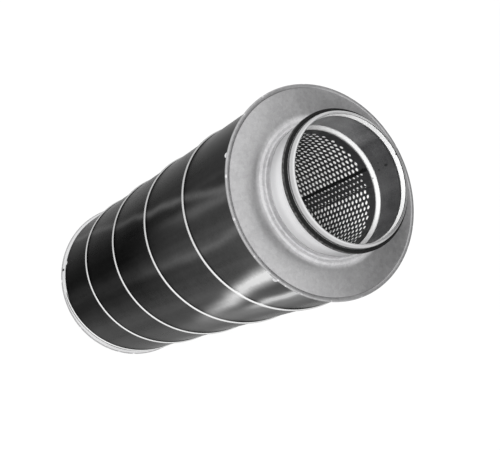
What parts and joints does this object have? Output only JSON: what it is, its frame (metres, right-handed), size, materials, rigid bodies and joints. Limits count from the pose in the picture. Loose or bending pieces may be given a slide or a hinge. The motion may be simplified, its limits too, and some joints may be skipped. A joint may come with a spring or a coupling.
{
  "type": "duct sound attenuator",
  "caption": "Round duct sound attenuator: perforated airway lined with mineral wool inside a spiral-seam steel casing, with gasketed spigots at both ends.",
  "frame": {"origin": "middle of the rear spigot's rim, on the surface the part stands on", "axes": "+Z along the airway from the rear spigot to the front spigot, +X and +Y square to it"},
  "size_m": [0.26, 0.26, 0.707],
  "materials": {
    "casing_steel": "galvanized, satin",
    "cap_steel": "galvanized, satin",
    "spigot_steel": "galvanized, bright",
    "liner_steel": "galvanized, perforated",
    "gasket_rubber": "matt black",
    "fleece": "white, matt",
    "wool": "fibrous",
    "rivet_metal": "plain"
  },
  "bodies": {
    "root": {"outer_casing": "casing_steel", "front_end_cap": "cap_steel", "rear_end_cap": "cap_steel", "front_spigot": "spigot_steel", "rear_spigot": "spigot_steel", "front_gasket": "gasket_rubber", "rear_gasket": "gasket_rubber", "perforated_liner": "liner_steel", "acoustic_fleece": "fleece", "mineral_wool": "wool", "front_rivets": "rivet_metal", "rear_rivets": "rivet_metal"}
  },
  "joints": []
}
